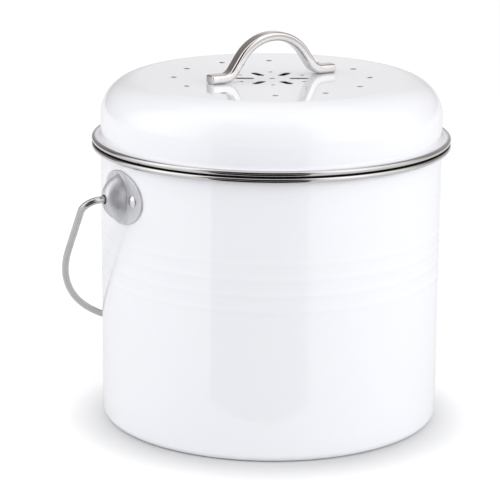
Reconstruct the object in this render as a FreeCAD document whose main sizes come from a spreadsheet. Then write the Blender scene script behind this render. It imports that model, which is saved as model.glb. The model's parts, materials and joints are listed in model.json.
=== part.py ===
"""Kitchen compost bin: white sheet-metal bucket with a bail, and a vented lid with a charcoal filter.

Millimetres, +Z up. The origin is on the bucket's axis, on the surface that it stands on. X runs through the two
ears and along the lid handle, and the bail hangs down at the back, on the +Y side.
"""
import FreeCAD, Part
import math
import os
from types import SimpleNamespace

import Sketcher

SIZES = {
    # Bucket, one drawn sheet
    "bucket_radius": 100.0,
    "bucket_height": 165.0,
    "bucket_gauge": 0.8,
    "bottom_corner_radius": 8.0,
    "base_lift": 2.5,
    "base_step_run": 5.0,
    "standing_ring_width": 3.0,
    "bead_height": 0.35,
    "bead_half_width": 3.0,
    "bead_pitch": 9.0,
    "ear_to_bead": 8.2,
    # Rolled rims of bucket and lid, and their trim rings
    "flare_radius": 2.0,
    "flange_flat": 0.4,
    "rim_roll_radius": 1.3,
    "trim_gauge": 0.35,
    "trim_fit": 0.05,
    "trim_top_lip": 0.3,
    "trim_bottom_lip": 0.9,
    "rim_gap": 0.3,
    # Ears and their rivets
    "pivot_drop": 23.1,
    "ear_gauge": 1.0,
    "ear_seat_gap": 0.1,
    "ear_margin": 2.0,
    "dome_half_width": 8.9,
    "dome_half_height": 13.4,
    "dome_top_half_width": 3.9,
    "dome_rise": 10.0,
    "dome_nose_radius": 1.0,
    "dome_to_rivet": 4.3,
    "rivet_to_tip": 8.2,
    "rivet_shank_radius": 1.6,
    "rivet_head_radius": 3.3,
    "rivet_head_rise": 1.3,
    "rivet_tail_radius": 2.6,
    "rivet_tail_rise": 1.0,
    "rivet_fit": 0.08,
    # Bail
    "bail_wire_radius": 2.0,
    "bail_play": 0.7,
    "bail_stub": 3.1,
    "bail_hang_height": 30.9,
    "bail_lean_angle": 7.7,
    "bail_bend_radius": 8.4,
    "bail_head_lip": 0.7,
    "bail_head_length": 2.0,
    "bail_end_gap": 1.3,
    "bail_rest_gap": 0.3,
    # Lid, one drawn sheet
    "lid_gauge": 0.8,
    "lid_wall": 10.2,
    "lid_shoulder_radius": 21.7,
    "lid_dish": 1.2,
    "vent_ring_radius": 57.2,
    "vent_radius": 1.6,
    "petal_inner_radius": 9.9,
    "petal_outer_radius": 21.7,
    "petal_half_width": 2.1,
    "inner_vent_ring_radius": 20.9,
    "inner_vent_radius": 1.3,
    "centre_vent_radius": 1.7,
    # Collar and gasket of the lid
    "collar_gauge": 0.6,
    "collar_band": 6.0,
    "collar_joggle": 3.0,
    "collar_drop": 10.0,
    "collar_clearance": 0.8,
    "collar_fit": 0.05,
    "gasket_offset": 0.5,
    "gasket_clearance": 0.3,
    # Lid handle and its screws
    "handle_width": 8.0,
    "handle_thickness": 5.1,
    "handle_edge_radius": 1.1,
    "handle_rise": 22.1,
    "handle_arch_radius": 26.0,
    "handle_lean_angle": 35.0,
    "handle_bend_radius": 8.5,
    "handle_foot_length": 8.7,
    "handle_end_radius": 0.7,
    "handle_seat_gap": 0.05,
    "screw_radius": 2.0,
    "screw_depth": 2.9,
    "screw_head_radius": 3.7,
    "screw_head_height": 2.2,
    "screw_dome_height": 0.7,
    "screw_fit": 0.1,
    "screw_end_gap": 0.2,
    "washer_radius": 4.6,
    "washer_gauge": 0.8,
    # Charcoal filter, its cover and its frame
    "frame_seat_gap": 0.1,
    "frame_bar_gauge": 2.5,
    "frame_bar_width": 13.0,
    "frame_wall": 2.2,
    "filter_radius": 60.0,
    "filter_thickness": 7.6,
    "filter_edge_radius": 1.0,
    "filter_clearance": 0.3,
    "filter_head_gap": 1.0,
    "cover_wall": 1.6,
    "cover_skirt": 8.0,
    "cover_plate": 2.0,
    "cover_fit": 0.3,
    "grille_hub_radius": 20.0,
    "grille_rim_width": 6.0,
    "grille_slot_half_width": 2.2,
}
BEAD_COUNT = 4
VENT_COUNT = 12
PETAL_COUNT = 6
GRILLE_SLOT_COUNT = 16
DOME_FULLNESS = 0.72


class Size:
    """A size known twice: as a number, and as the sheet formula that gives it."""

    def __init__(self, number, formula):
        self.number = number
        self.formula = formula

    def __add__(self, other):
        other = as_size(other)
        return Size(self.number + other.number, "(%s + %s)" % (self.formula, other.formula))

    def __sub__(self, other):
        other = as_size(other)
        return Size(self.number - other.number, "(%s - %s)" % (self.formula, other.formula))

    def __mul__(self, other):
        other = as_size(other)
        return Size(self.number * other.number, "(%s * %s)" % (self.formula, other.formula))

    def __truediv__(self, other):
        other = as_size(other)
        return Size(self.number / other.number, "(%s / %s)" % (self.formula, other.formula))

    def __neg__(self):
        return Size(-self.number, "(-%s)" % self.formula)


def as_size(item):
    """Take a plain count as a size of its own."""
    return item if isinstance(item, Size) else Size(item, str(item))


def root(size):
    """Square root of a size."""
    return Size(math.sqrt(size.number), "sqrt(%s)" % size.formula)


def other_leg(slant, leg):
    """Third side of a right triangle, from its slanted side and one leg."""
    return root(slant * slant - leg * leg)


def slanted(leg, other):
    """Slanted side of a right triangle, from its two legs."""
    return root(leg * leg + other * other)


def sine(angle):
    """Sine of an angle in degrees."""
    return Size(math.sin(math.radians(angle.number)), "sin(%s)" % angle.formula)


def cosine(angle):
    """Cosine of an angle in degrees."""
    return Size(math.cos(math.radians(angle.number)), "cos(%s)" % angle.formula)


def arc_sine(share):
    """Angle in degrees whose sine is given."""
    return Size(math.degrees(math.asin(share.number)), "asin(%s)" % share.formula)


def arc_cosine(share):
    """Angle in degrees whose cosine is given."""
    return Size(math.degrees(math.acos(share.number)), "acos(%s)" % share.formula)


ZERO = Size(0, "0")

doc = FreeCAD.newDocument("compost_bin")
sheet = doc.addObject("Spreadsheet::Sheet", "Sizes")
for row, (alias, number) in enumerate(SIZES.items(), start=1):
    sheet.set("A%d" % row, alias.replace("_", " "))
    sheet.set("B%d" % row, str(number))
    sheet.setAlias("B%d" % row, alias)
doc.recompute()
d = SimpleNamespace(**{alias: Size(number, "Sizes." + alias) for alias, number in SIZES.items()})


# Sketching


def line(x, y):
    """A straight step of an outline, to a point."""
    return SimpleNamespace(end=(x, y), centre=None, turn=0)


def arc(x, y, centre_x, centre_y, turn):
    """A round step of an outline, to a point: turn is 1 to the left and -1 to the right."""
    return SimpleNamespace(end=(x, y), centre=(centre_x, centre_y), turn=turn)


def vector(place):
    """Numbers of a place in a sketch."""
    return FreeCAD.Vector(place[0].number, place[1].number, 0)


def sketch_on(body, name, role, offset=None):
    """Start a sketch on one of the body's own planes, or that far along the plane's normal."""
    plane = [item for item in body.Origin.OriginFeatures if item.Role == role]
    sketch = body.newObject("Sketcher::SketchObject", name)
    sketch.AttachmentSupport = (plane[0], [""])
    sketch.MapMode = "FlatFace"
    if offset is not None:
        sketch.setExpression("AttachmentOffset.Base.z", offset.formula)
    return sketch


def hold(sketch, geometry, point, place, sides="xy"):
    """Hold a point of the sketch at its place by the sheet's formulas."""
    for side, kind, axis, size in (("x", "DistanceX", -2, place[0]), ("y", "DistanceY", -1, place[1])):
        if side not in sides:
            continue
        if size.number == 0:
            sketch.addConstraint(Sketcher.Constraint("PointOnObject", geometry, point, axis))
        else:
            index = sketch.addConstraint(Sketcher.Constraint(kind, -1, 1, geometry, point, size.number))
            sketch.setExpression("Constraints[%d]" % index, size.formula)


def draw(sketch, start, steps, closed=True):
    """Draw an outline of lines and arcs, every point of it held by the sheet's formulas."""
    first = sketch.GeometryCount
    here = start
    shapes = []
    points = []
    for step in steps:
        ends = (vector(here), vector(step.end))
        if step.centre is None:
            shapes.append(Part.LineSegment(*ends))
            points.append((1, 2))
        else:
            centre = vector(step.centre)
            begin, finish = ends if step.turn > 0 else ends[::-1]
            circle = Part.Circle(centre, FreeCAD.Vector(0, 0, 1), centre.distanceToPoint(begin))
            angles = [math.atan2(end.y - centre.y, end.x - centre.x) for end in (begin, finish)]
            shapes.append(Part.ArcOfCircle(circle, *angles))
            points.append((1, 2) if step.turn > 0 else (2, 1))
        here = step.end
    sketch.addGeometry(shapes)
    if not closed:
        hold(sketch, first, points[0][0], start)
    for index, step in enumerate(steps):
        following = (index + 1) % len(steps)
        if closed or following:
            joint = (first + index, points[index][1], first + following, points[following][0])
            sketch.addConstraint(Sketcher.Constraint("Coincident", *joint))
        hold(sketch, first + index, points[index][1], step.end)
        if step.centre is not None:
            before = steps[index - 1].end if index else start
            chord = vector(step.end) - vector(before)
            from_axis = 0 in (before[0].number, step.end[0].number)
            upright = from_axis or abs(chord.y) > abs(chord.x)
            hold(sketch, first + index, 3, step.centre, "x" if upright else "y")


def circle(sketch, x, y, radius):
    """Draw a circle held by the sheet's formulas."""
    geometry = sketch.GeometryCount
    shape = Part.Circle(vector((x, y)), FreeCAD.Vector(0, 0, 1), radius.number)
    sketch.addGeometry(shape)
    if x.number == 0 and y.number == 0:
        sketch.addConstraint(Sketcher.Constraint("Coincident", geometry, 3, -1, 1))
    else:
        hold(sketch, geometry, 3, (x, y))
    index = sketch.addConstraint(Sketcher.Constraint("Radius", geometry, radius.number))
    sketch.setExpression("Constraints[%d]" % index, radius.formula)


def oval(sketch, half_width, half_height):
    """Draw an oval round the sketch's origin, held by the sheet's formulas."""
    long_end, short_end, short_side = (half_width, ZERO), (ZERO, half_height), "y"
    if half_height.number > half_width.number:
        long_end, short_end, short_side = (ZERO, half_height), (-half_width, ZERO), "x"
    sketch.addGeometry(Part.Ellipse(vector(long_end), vector(short_end), FreeCAD.Vector()))
    sketch.exposeInternalGeometry(0)
    sketch.addConstraint(Sketcher.Constraint("Coincident", 0, 3, -1, 1))
    hold(sketch, 1, 1, long_end)
    hold(sketch, 2, 1, short_end, short_side)


def obround(sketch, near, far, half_width):
    """Draw a slot with round ends along the sketch's first axis, between two end points."""
    left = near + half_width
    right = far - half_width
    draw(sketch, (left, -half_width), [
        line(right, -half_width),
        arc(right, half_width, right, ZERO, 1),
        line(left, half_width),
        arc(left, -half_width, left, ZERO, 1),
    ])


# Features


def new_body(label):
    """Start a sub-part."""
    body = doc.addObject("PartDesign::Body", label)
    body.Label = label
    return body


def revolve(body, sketch, kind="Revolution", axis="V_Axis"):
    """Turn a profile round one of its sketch's axes, to add to the body or to cut from it."""
    feature = body.newObject("PartDesign::" + kind, sketch.Name + "_" + kind)
    feature.Profile = sketch
    feature.ReferenceAxis = (sketch, [axis])
    feature.Angle = 360
    return feature


def cut_through(body, sketch):
    """Cut a sketch through the whole body, both ways."""
    pocket = body.newObject("PartDesign::Pocket", sketch.Name + "_Pocket")
    pocket.Profile = sketch
    pocket.Type = "ThroughAll"
    pocket.SideType = "Symmetric"
    return pocket


def pad(body, sketch, length, backwards=False, kind="Pad"):
    """Raise a sketch, or cut it, by a length along its normal."""
    feature = body.newObject("PartDesign::" + kind, sketch.Name + "_" + kind)
    feature.Profile = sketch
    feature.setExpression("Length", length.formula)
    feature.Reversed = backwards
    return feature


def repeat(body, feature, count):
    """Repeat a feature evenly round the body's Z axis."""
    pattern = body.newObject("PartDesign::PolarPattern", feature.Name + "_Pattern")
    pattern.Originals = [feature]
    pattern.Axis = ([item for item in body.Origin.OriginFeatures if item.Role == "Z_Axis"][0], [""])
    pattern.Angle = 360
    pattern.Occurrences = count
    body.Tip = pattern
    return pattern


def mirror(body, features):
    """Repeat features on the other side of the body's YZ plane."""
    mirrored = body.newObject("PartDesign::Mirrored", features[0].Name + "_Mirror")
    mirrored.Originals = features
    mirrored.MirrorPlane = ([item for item in body.Origin.OriginFeatures if item.Role == "YZ_Plane"][0], [""])
    body.Tip = mirrored
    return mirrored


def round_edges(body, chosen, radius):
    """Round the edges of the body that a test chooses."""
    doc.recompute()
    base = body.Tip
    names = ["Edge%d" % index for index, edge in enumerate(base.Shape.Edges, start=1) if chosen(edge)]
    fillet = body.newObject("PartDesign::Fillet", base.Name + "_Fillet")
    fillet.Base = (base, names)
    fillet.setExpression("Radius", radius.formula)
    return fillet


def place(body, side, distance, axis=None, angle=None):
    """Move a body along X or Z, and turn it about an axis through its own origin."""
    body.setExpression("Placement.Base." + side, distance.formula)
    if angle is not None:
        body.Placement.Rotation = FreeCAD.Rotation(axis, angle.number)
        body.setExpression("Placement.Rotation.Angle", angle.formula)


# Shared heights and radii

LEFT = FreeCAD.Vector(-1, 0, 0)
Z_AXIS = FreeCAD.Vector(0, 0, 1)
ONE = Size(1, "1")
half_turn = Size(180, "180 deg")

flare_x = d.bucket_radius + d.flare_radius
roll_dip = other_leg(d.rim_roll_radius, d.rim_roll_radius - d.bucket_gauge)
rim_radius = flare_x + d.flange_flat + roll_dip
trim_inner_radius = d.rim_roll_radius + d.trim_fit
trim_outer_radius = trim_inner_radius + d.trim_gauge
bucket_roll_height = d.bucket_height - d.rim_roll_radius
lid_roll_height = bucket_roll_height + trim_outer_radius * 2 + d.rim_gap
lid_flange_top = lid_roll_height + d.rim_roll_radius
lid_flare_z = lid_flange_top + d.flare_radius
lid_top = lid_flare_z + d.lid_wall + d.lid_shoulder_radius
plateau_radius = d.bucket_radius - d.lid_shoulder_radius
dish_radius = (plateau_radius * plateau_radius + d.lid_dish * d.lid_dish) / (d.lid_dish * 2)
dish_centre = lid_top - d.lid_dish + dish_radius
bucket_bore = d.bucket_radius - d.bucket_gauge
lid_bore = d.bucket_radius - d.lid_gauge
ear_inner_radius = d.bucket_radius + d.ear_seat_gap
ear_outer_radius = ear_inner_radius + d.ear_gauge
ear_apex = ear_outer_radius + d.dome_rise
ear_half_height = d.dome_half_height + d.ear_margin
rivet_spread = d.dome_half_width + d.dome_to_rivet
ear_half_width = rivet_spread + d.rivet_to_tip
pivot_height = d.bucket_height - d.pivot_drop
bail_hole_radius = d.bail_wire_radius + d.bail_play


def dish_height(radius):
    """Height of the lid's dished top at a distance from its centre."""
    return dish_centre - other_leg(dish_radius, radius)


# Lid handle, from its apex outwards: where the arch, the legs and the bends end
handle_sine = sine(d.handle_lean_angle)
handle_cosine = cosine(d.handle_lean_angle)
handle_arch_x = d.handle_arch_radius * handle_cosine
handle_arch_z = d.handle_rise - d.handle_arch_radius + d.handle_arch_radius * handle_sine
handle_leg_z = d.handle_bend_radius - d.handle_bend_radius * handle_sine
handle_leg_x = handle_arch_x + (handle_arch_z - handle_leg_z) * handle_sine / handle_cosine
handle_bend_x = handle_leg_x + d.handle_bend_radius * handle_cosine
handle_end = handle_bend_x + d.handle_foot_length
handle_seat = dish_height(handle_end) + d.handle_seat_gap
screw_x = handle_bend_x + d.handle_foot_length / 2

# Stack under the lid: frame bar, washers, screw heads, filter and its cover
bar_top = lid_top - d.lid_dish - d.lid_gauge - d.frame_seat_gap
bar_bottom = bar_top - d.frame_bar_gauge
washer_bottom = bar_bottom - d.washer_gauge
filter_top = washer_bottom - d.screw_head_height - d.filter_head_gap
filter_bottom = filter_top - d.filter_thickness
cover_top = filter_bottom - d.filter_clearance
frame_bottom = cover_top + d.cover_fit
frame_inner_radius = d.filter_radius + d.filter_clearance + d.cover_wall + d.cover_fit
frame_outer_radius = frame_inner_radius + d.frame_wall


def rolled_rim(gauge, flange_top):
    """Where a sheet's flange runs into the roll at its edge, on the flange's under side."""
    return rim_radius - other_leg(d.rim_roll_radius, d.rim_roll_radius - gauge), flange_top - gauge


def bucket_shell():
    """Drawn bucket: stepped base on a standing ring, beaded wall, flared and rolled rim."""
    gauge = d.bucket_gauge
    outer = d.bucket_radius
    corner = d.bottom_corner_radius
    ring_inner = outer - corner - d.standing_ring_width
    step_inner = ring_inner - d.base_step_run
    step_radius = (d.base_step_run * d.base_step_run + d.base_lift * d.base_lift) / (d.base_lift * 4)
    middle = (ring_inner - d.base_step_run / 2, d.base_lift / 2)
    low_centre = (ring_inner, step_radius)
    high_centre = (step_inner, d.base_lift - step_radius)
    upper_share = (step_radius - gauge) / step_radius
    upper_middle = tuple(c + (m - c) * upper_share for c, m in zip(low_centre, middle))
    bead_radius = (d.bead_half_width * d.bead_half_width + d.bead_height * d.bead_height) / (d.bead_height * 2)
    bead_centre = outer + d.bead_height - bead_radius
    inner_half_width = other_leg(bead_radius - gauge, bead_radius - gauge - d.bead_height)
    top_bead = pivot_height - ear_half_height - d.ear_to_bead - d.bead_half_width
    bead_heights = [top_bead - d.bead_pitch * index for index in reversed(range(BEAD_COUNT))]
    under_x, under_z = rolled_rim(gauge, d.bucket_height)
    flare_z = under_z - d.flare_radius

    steps = [
        line(step_inner, d.base_lift),
        arc(*middle, *high_centre, -1),
        arc(ring_inner, ZERO, *low_centre, 1),
        line(outer - corner, ZERO),
        arc(outer, corner, outer - corner, corner, 1),
    ]
    for height in bead_heights:
        steps.append(line(outer, height - d.bead_half_width))
        steps.append(arc(outer, height + d.bead_half_width, bead_centre, height, 1))
    steps += [
        line(outer, flare_z),
        arc(flare_x, under_z, flare_x, flare_z, -1),
        line(under_x, under_z),
        arc(rim_radius, d.bucket_height, rim_radius, bucket_roll_height, 1),
        line(flare_x, d.bucket_height),
        arc(bucket_bore, flare_z, flare_x, flare_z, 1),
    ]
    for height in reversed(bead_heights):
        steps.append(line(bucket_bore, height + inner_half_width))
        steps.append(arc(bucket_bore, height - inner_half_width, bead_centre, height, -1))
    steps += [
        line(bucket_bore, corner),
        arc(outer - corner, gauge, outer - corner, corner, -1),
        line(ring_inner, gauge),
        arc(*upper_middle, *low_centre, -1),
        arc(step_inner, d.base_lift + gauge, *high_centre, 1),
        line(ZERO, d.base_lift + gauge),
        line(ZERO, d.base_lift),
    ]
    body = new_body("bucket_shell")
    profile = sketch_on(body, "BucketProfile", "XZ_Plane")
    draw(profile, (ZERO, d.base_lift), steps)
    revolve(body, profile)
    for name, turn in (("RivetHolesAnticlockwise", 1), ("RivetHolesClockwise", -1)):
        rivet_hole(body, name, turn, pivot_height)
    return body


def rivet_angle():
    """Angle about Z between an ear's middle and its rivets."""
    return arc_sine(rivet_spread / ear_outer_radius)


def rivet_hole(body, name, turn, height):
    """Cut a radial rivet hole beside the ear's middle: turn is 1 anticlockwise and -1 clockwise, from above."""
    sketch = sketch_on(body, name, "YZ_Plane")
    rotation = FreeCAD.Rotation(FreeCAD.Vector(0, turn, 0), rivet_angle().number)
    sketch.AttachmentOffset = FreeCAD.Placement(FreeCAD.Vector(), rotation)
    sketch.setExpression("AttachmentOffset.Rotation.Angle", rivet_angle().formula)
    circle(sketch, ZERO, height, d.rivet_shank_radius + d.rivet_fit)
    return cut_through(body, sketch)


def rim_ring(label, roll_height):
    """Trim ring of thin stainless strip, crimped round a rolled rim and open on its inner side."""
    top_x = rim_radius - d.trim_top_lip
    bottom_x = rim_radius - d.trim_bottom_lip
    outer_top = roll_height + other_leg(trim_outer_radius, d.trim_top_lip)
    inner_top = roll_height + other_leg(trim_inner_radius, d.trim_top_lip)
    outer_bottom = roll_height - other_leg(trim_outer_radius, d.trim_bottom_lip)
    inner_bottom = roll_height - other_leg(trim_inner_radius, d.trim_bottom_lip)
    body = new_body(label)
    profile = sketch_on(body, label + "_profile", "XZ_Plane")
    draw(profile, (top_x, outer_top), [
        arc(bottom_x, outer_bottom, rim_radius, roll_height, -1),
        line(bottom_x, inner_bottom),
        arc(top_x, inner_top, rim_radius, roll_height, 1),
        line(top_x, outer_top),
    ])
    revolve(body, profile)
    return body


def ear(label, angle):
    """Pressed ear: oval plate bent to the bucket's wall, with a hollow oval dome that the bail goes through."""
    body = new_body(label)
    plate = sketch_on(body, label + "_plate", "YZ_Plane")
    oval(plate, ear_half_width, ear_half_height)
    pad(body, plate, ear_apex)

    outside = sketch_on(body, label + "_outside", "XZ_Plane")
    draw(outside, (ear_outer_radius, -ear_half_width), [
        line(ear_apex * 2, -ear_half_width),
        line(ear_apex * 2, ear_half_width),
        line(ear_outer_radius, ear_half_width),
        line(ear_outer_radius, -ear_half_width),
    ])
    revolve(body, outside, "Groove")

    loft(dome_sections(body, label + "_dome", ZERO), "AdditiveLoft")
    round_edges(body, is_dome_nose, d.dome_nose_radius)
    loft(dome_sections(body, label + "_hollow", d.ear_gauge), "SubtractiveLoft")

    seat = sketch_on(body, label + "_seat", "XY_Plane")
    circle(seat, ZERO, ZERO, ear_inner_radius)
    cut_through(body, seat)
    bore = sketch_on(body, label + "_bore", "YZ_Plane")
    circle(bore, ZERO, ZERO, bail_hole_radius)
    cut_through(body, bore)
    for name, turn in (("_hole_anticlockwise", 1), ("_hole_clockwise", -1)):
        rivet_hole(body, label + name, turn, ZERO)
    place(body, "z", pivot_height, Z_AXIS, angle)
    return body


def dome_sections(body, label, inset):
    """Ovals of an ear's dome from its root below the plate to its flat top, that far inside its outer face."""
    root = ear_outer_radius - d.dome_rise / 5
    middle = ear_outer_radius + d.dome_rise / 2
    top_half_height = d.dome_top_half_width * 1.1
    half_width = d.dome_top_half_width + (d.dome_half_width - d.dome_top_half_width) * DOME_FULLNESS
    half_height = top_half_height + (d.dome_half_height - top_half_height) * DOME_FULLNESS
    sections = []
    for name, distance, wide, high in (
        ("_root", root, d.dome_half_width, d.dome_half_height),
        ("_middle", middle - inset / 2, half_width, half_height),
        ("_top", ear_apex - inset, d.dome_top_half_width, top_half_height),
    ):
        section = sketch_on(body, label + name, "YZ_Plane", distance)
        oval(section, wide - inset, high - inset)
        sections.append(section)
    return sections


def is_dome_nose(edge):
    """Tell whether an edge runs round the flat top of an ear's dome."""
    return all(math.isclose(point.x, ear_apex.number) for point in edge.discretize(Number=9))


def rivet(label, angle):
    """Domed rivet through an ear and the bucket's wall, headed over inside the bucket."""
    seat = ear_outer_radius + d.rivet_fit
    tip = seat + d.rivet_head_rise
    head_radius = d.rivet_head_radius
    ball_radius = (head_radius * head_radius + d.rivet_head_rise * d.rivet_head_rise) / (d.rivet_head_rise * 2)
    tail = other_leg(bucket_bore, d.rivet_tail_radius) - d.rivet_fit
    tail_end = tail - d.rivet_tail_rise
    body = new_body(label)
    profile = sketch_on(body, label + "_profile", "XZ_Plane")
    draw(profile, (tail_end, ZERO), [
        line(tail_end, d.rivet_tail_radius),
        line(tail, d.rivet_tail_radius),
        line(tail, d.rivet_shank_radius),
        line(seat, d.rivet_shank_radius),
        line(seat, head_radius),
        arc(tip, ZERO, tip - ball_radius, ZERO, -1),
        line(tail_end, ZERO),
    ])
    revolve(body, profile, axis="H_Axis")
    place(body, "z", pivot_height, Z_AXIS, angle)
    return body


def bail_wire():
    """Bail: one wire from ear to ear, with leaning arms, a round bow and upset heads inside the domes."""
    lean_sine = sine(d.bail_lean_angle)
    lean_cosine = cosine(d.bail_lean_angle)
    bend = d.bail_bend_radius
    stub_end = ear_apex + d.bail_stub
    half_width = stub_end + bend * (ONE + lean_sine) / lean_cosine
    rest_reach = d.bucket_radius + d.bail_wire_radius + d.bail_rest_gap
    length = slanted(rest_reach, pivot_height - d.bail_hang_height)
    bow_radius = (half_width * lean_cosine - length * lean_sine) / (ONE - lean_sine)
    bow_centre = length - bow_radius
    bow_x = bow_radius * lean_cosine
    bow_y = bow_centre + bow_radius * lean_sine
    arm_x = stub_end + bend * lean_cosine
    arm_y = bend + bend * lean_sine
    wire_end = d.bucket_radius + d.bail_end_gap
    body = new_body("bail_wire")
    path = sketch_on(body, "BailPath", "XY_Plane")
    draw(path, (-wire_end, ZERO), [
        line(-stub_end, ZERO),
        arc(-arm_x, arm_y, -stub_end, bend, -1),
        line(-bow_x, bow_y),
        arc(bow_x, bow_y, ZERO, bow_centre, -1),
        line(arm_x, arm_y),
        arc(stub_end, ZERO, stub_end, bend, -1),
        line(wire_end, ZERO),
    ], closed=False)
    section = sketch_on(body, "BailSection", "YZ_Plane", -wire_end)
    circle(section, ZERO, ZERO, d.bail_wire_radius)
    sweep(body, section, path)
    head = sketch_on(body, "BailHead", "YZ_Plane", wire_end)
    circle(head, ZERO, ZERO, bail_hole_radius + d.bail_head_lip)
    mirror(body, [pad(body, head, d.bail_head_length)])
    place(body, "z", pivot_height, LEFT, arc_cosine(rest_reach / length))
    return body


def loft(sections, kind):
    """Add or cut the skin over a row of closed sketches."""
    body = sections[0].getParentGeoFeatureGroup()
    skin = body.newObject("PartDesign::" + kind, sections[0].Name + "_Skin")
    skin.Profile = sections[0]
    skin.Sections = sections[1:]
    return skin


def sweep(body, section, path):
    """Draw a closed section along a path of lines and tangent arcs."""
    pipe = body.newObject("PartDesign::AdditivePipe", path.Name + "_Pipe")
    pipe.Profile = section
    pipe.Spine = (path, ["Edge%d" % (index + 1) for index in range(path.GeometryCount)])
    return pipe


def lid_shell():
    """Drawn lid: dished top, round shoulder, straight wall, flared and rolled rim, and its vents."""
    gauge = d.lid_gauge
    outer = d.bucket_radius
    shoulder_z = lid_top - d.lid_shoulder_radius
    under_x, under_z = rolled_rim(gauge, lid_flange_top)
    body = new_body("lid_shell")
    profile = sketch_on(body, "LidProfile", "XZ_Plane")
    draw(profile, (ZERO, lid_top - d.lid_dish), [
        arc(plateau_radius, lid_top, ZERO, dish_centre, 1),
        arc(outer, shoulder_z, plateau_radius, shoulder_z, -1),
        line(outer, lid_flare_z),
        arc(flare_x, lid_flange_top, flare_x, lid_flare_z, 1),
        line(rim_radius, lid_flange_top),
        arc(under_x, under_z, rim_radius, lid_roll_height, -1),
        line(flare_x, under_z),
        arc(lid_bore, lid_flare_z, flare_x, lid_flare_z, -1),
        line(lid_bore, shoulder_z),
        arc(plateau_radius, lid_top - gauge, plateau_radius, shoulder_z, 1),
        arc(ZERO, lid_top - d.lid_dish - gauge, ZERO, dish_centre, -1),
        line(ZERO, lid_top - d.lid_dish),
    ])
    revolve(body, profile)

    for name, radius, size, count in (
        ("OuterVents", d.vent_ring_radius, d.vent_radius, VENT_COUNT),
        ("InnerVents", d.inner_vent_ring_radius, d.inner_vent_radius, PETAL_COUNT),
    ):
        vent = sketch_on(body, name, "XY_Plane")
        circle(vent, radius, ZERO, size)
        repeat(body, cut_through(body, vent), count)
    petal = sketch_on(body, "Petals", "XY_Plane")
    petal.AttachmentOffset = FreeCAD.Placement(FreeCAD.Vector(), FreeCAD.Rotation(Z_AXIS, 180 / PETAL_COUNT))
    obround(petal, d.petal_inner_radius, d.petal_outer_radius, d.petal_half_width)
    repeat(body, cut_through(body, petal), PETAL_COUNT)
    centre = sketch_on(body, "CentreVent", "XY_Plane")
    circle(centre, ZERO, ZERO, d.centre_vent_radius)
    cut_through(body, centre)
    screw_holes(body, "LidScrewHoles")
    return body


def screw_holes(body, name, offset=None):
    """Cut the two holes of the handle's screws, or start them that far up when they are blind."""
    sketch = sketch_on(body, name, "XY_Plane", offset)
    for x in (-screw_x, screw_x):
        circle(sketch, x, ZERO, d.screw_radius + d.screw_fit)
    if offset is None:
        return cut_through(body, sketch)
    return pad(body, sketch, d.screw_depth + d.screw_end_gap, backwards=True, kind="Pocket")


def lid_collar():
    """Joggled ring welded inside the lid's wall, which drops into the bucket's mouth."""
    wide = lid_bore - d.collar_fit
    narrow = bucket_bore - d.collar_clearance
    top = lid_flare_z + d.collar_band
    joggle_end = lid_flare_z - d.collar_joggle
    bottom = d.bucket_height - d.collar_drop
    body = new_body("lid_collar")
    profile = sketch_on(body, "CollarProfile", "XZ_Plane")
    draw(profile, (wide, top), [
        line(wide - d.collar_gauge, top),
        line(wide - d.collar_gauge, lid_flare_z),
        line(narrow - d.collar_gauge, joggle_end),
        line(narrow - d.collar_gauge, bottom),
        line(narrow, bottom),
        line(narrow, joggle_end),
        line(wide, lid_flare_z),
        line(wide, top),
    ])
    revolve(body, profile)
    return body


def lid_gasket():
    """Soft round ring between the flares of lid and bucket."""
    ring_radius = d.bucket_radius + d.gasket_offset
    height = (d.bucket_height + lid_flange_top - d.lid_gauge) / 2
    reach = slanted(flare_x - ring_radius, lid_flare_z - height)
    body = new_body("lid_gasket")
    profile = sketch_on(body, "GasketProfile", "XZ_Plane")
    circle(profile, ring_radius, height, reach - d.flare_radius - d.lid_gauge - d.gasket_clearance)
    revolve(body, profile)
    return body


def lid_handle():
    """Handle bent from one bar: two flat feet, leaning legs and a round arch, tapped from below."""
    bend = d.handle_bend_radius
    half_width = d.handle_width / 2
    half_thickness = d.handle_thickness / 2
    edge = d.handle_edge_radius
    foot_z = handle_seat + half_thickness
    body = new_body("lid_handle")
    path = sketch_on(body, "HandlePath", "XZ_Plane")
    draw(path, (-handle_end, foot_z), [
        line(-handle_bend_x, foot_z),
        arc(-handle_leg_x, foot_z + handle_leg_z, -handle_bend_x, foot_z + bend, 1),
        line(-handle_arch_x, foot_z + handle_arch_z),
        arc(handle_arch_x, foot_z + handle_arch_z, ZERO, foot_z + d.handle_rise - d.handle_arch_radius, -1),
        line(handle_leg_x, foot_z + handle_leg_z),
        arc(handle_bend_x, foot_z, handle_bend_x, foot_z + bend, 1),
        line(handle_end, foot_z),
    ], closed=False)
    section = sketch_on(body, "HandleSection", "YZ_Plane", -handle_end)
    side = half_width - edge
    low = foot_z - half_thickness
    high = foot_z + half_thickness
    draw(section, (-side, low), [
        line(side, low),
        arc(half_width, low + edge, side, low + edge, 1),
        line(half_width, high - edge),
        arc(side, high, side, high - edge, 1),
        line(-side, high),
        arc(-half_width, high - edge, -side, high - edge, 1),
        line(-half_width, low + edge),
        arc(-side, low, -side, low + edge, 1),
    ])
    sweep(body, section, path)
    round_edges(body, is_handle_end, d.handle_end_radius)
    screw_holes(body, "HandleScrewHoles", handle_seat)
    return body


def is_handle_end(edge):
    """Tell whether an edge bounds an end face of the lid handle."""
    return all(math.isclose(abs(point.x), handle_end.number) for point in edge.discretize(Number=3))


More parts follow.
